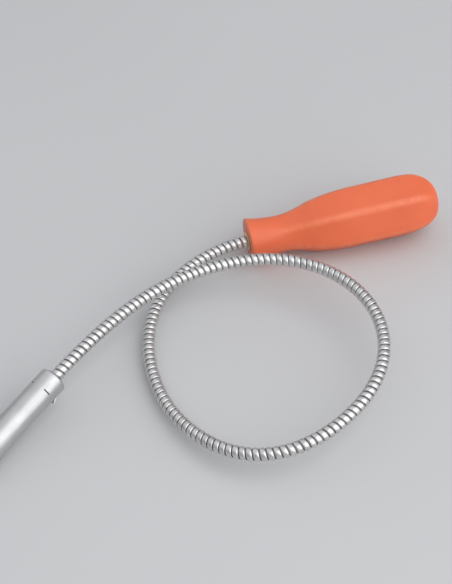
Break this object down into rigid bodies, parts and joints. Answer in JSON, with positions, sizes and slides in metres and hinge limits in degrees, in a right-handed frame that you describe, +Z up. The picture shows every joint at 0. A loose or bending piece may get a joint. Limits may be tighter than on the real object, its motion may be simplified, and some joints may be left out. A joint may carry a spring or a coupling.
{
  "type": "flexible magnetic pick-up tool",
  "caption": "Flexible gooseneck pick-up tool with a moulded screwdriver-style grip, a bendable steel neck and a lighted cylindrical head with a magnet in its tip.",
  "frame": {"origin": "on the table, under the middle of the whole tool's box", "axes": "+Z up from the table; the handle points towards +X; the neck's loop lies on the -Y side of the handle and the head points towards -X and -Y"},
  "size_m": [0.2393, 0.186, 0.0346],
  "materials": {
    "orange_plastic": "satin moulded orange plastic",
    "bright_steel": "bright nickel-plated spring steel",
    "satin_aluminium": "satin turned aluminium",
    "brass": "turned brass",
    "nickel": "bright nickel plate",
    "black_plastic": "black moulded plastic",
    "clear_plastic": "clear lamp body",
    "circuit_board": "solder-masked board",
    "paper_liner": "fibre insulating liner",
    "seal_rubber": "black rubber"
  },
  "bodies": {
    "handle": {"handle_grip": "orange_plastic", "handle_ferrule": "brass", "neck_rear_fitting": "bright_steel", "neck_section_01": "bright_steel"},
    "neck_02": {"neck_section_02": "bright_steel"},
    "neck_03": {"neck_section_03": "bright_steel"},
    "neck_04": {"neck_section_04": "bright_steel"},
    "neck_05": {"neck_section_05": "bright_steel"},
    "neck_06": {"neck_section_06": "bright_steel"},
    "neck_07": {"neck_section_07": "bright_steel"},
    "neck_08": {"neck_section_08": "bright_steel"},
    "neck_09": {"neck_section_09": "bright_steel"},
    "neck_10": {"neck_section_10": "bright_steel"},
    "neck_11": {"neck_section_11": "bright_steel"},
    "neck_12": {"neck_section_12": "bright_steel"},
    "head": {"neck_section_13": "bright_steel", "neck_front_fitting": "bright_steel", "neck_plug": "brass", "head_barrel": "satin_aluminium", "battery_spring": "nickel", "battery_liner": "paper_liner", "battery_cell_1": "nickel", "battery_cell_2": "nickel", "battery_cell_3": "nickel", "contact_board": "circuit_board", "lamp_holder": "black_plastic", "lamp_1": "clear_plastic", "lamp_2": "clear_plastic", "lamp_3": "clear_plastic", "magnet_cup": "bright_steel", "magnet": "nickel"},
    "bezel": {"front_bezel": "satin_aluminium", "bezel_seal": "seal_rubber"}
  },
  "joints": [
    {"name": "neck_bend_01", "type": "hinge", "parent": "handle", "child": "neck_02", "pos_m": [-0.00214, 0.04705, 0.01044], "axis": [0, 0, -1], "range_deg": [-12, 60]},
    {"name": "neck_bend_02", "type": "hinge", "parent": "neck_02", "child": "neck_03", "pos_m": [-0.02936, 0.01621, 0.00632], "axis": [0, 0, -1], "range_deg": [-4, 60]},
    {"name": "neck_bend_03", "type": "hinge", "parent": "neck_03", "child": "neck_04", "pos_m": [-0.03154, -0.0252, 0.00491], "axis": [0, 0, -1], "range_deg": [-4, 50]},
    {"name": "neck_bend_04", "type": "hinge", "parent": "neck_04", "child": "neck_05", "pos_m": [-0.01379, -0.06278, 0.00777], "axis": [0, 0, -1], "range_deg": [-8, 35]},
    {"name": "neck_bend_05", "type": "hinge", "parent": "neck_05", "child": "neck_06", "pos_m": [0.02124, -0.08339, 0.01347], "axis": [0, 0, -1], "range_deg": [-30, 25]},
    {"name": "neck_bend_06", "type": "hinge", "parent": "neck_06", "child": "neck_07", "pos_m": [0.05931, -0.06924, 0.0193], "axis": [0, 0, -1], "range_deg": [-30, 4]},
    {"name": "neck_bend_07", "type": "hinge", "parent": "neck_07", "child": "neck_08", "pos_m": [0.08122, -0.03445, 0.02348], "axis": [0.9781, -0.2079, 0], "range_deg": [-5, 45]},
    {"name": "neck_bend_08", "type": "hinge", "parent": "neck_08", "child": "neck_09", "pos_m": [0.07416, 0.00603, 0.02368], "axis": [0.8526, 0.5225, 0], "range_deg": [-8, 45]},
    {"name": "neck_bend_09", "type": "hinge", "parent": "neck_09", "child": "neck_10", "pos_m": [0.04127, 0.03059, 0.02241], "axis": [0.2472, 0.969, 0], "range_deg": [-4, 45]},
    {"name": "neck_bend_10", "type": "hinge", "parent": "neck_10", "child": "neck_11", "pos_m": [-0.00007, 0.02713, 0.02215], "axis": [0, 0, -1], "range_deg": [-30, 50]},
    {"name": "neck_bend_11", "type": "hinge", "parent": "neck_11", "child": "neck_12", "pos_m": [-0.03626, 0.00613, 0.02096], "axis": [-0.6536, 0.7569, 0], "range_deg": [-20, 50]},
    {"name": "neck_bend_12", "type": "hinge", "parent": "neck_12", "child": "head", "pos_m": [-0.06438, -0.02508, 0.01972], "axis": [0, 0, -1], "range_deg": [-60, 60]},
    {"name": "bezel_twist", "type": "hinge", "parent": "head", "child": "bezel", "pos_m": [-0.11073, -0.0842, 0.00803], "axis": [-0.6072, -0.7772, -0.165], "range_deg": [0, 90]}
  ]
}
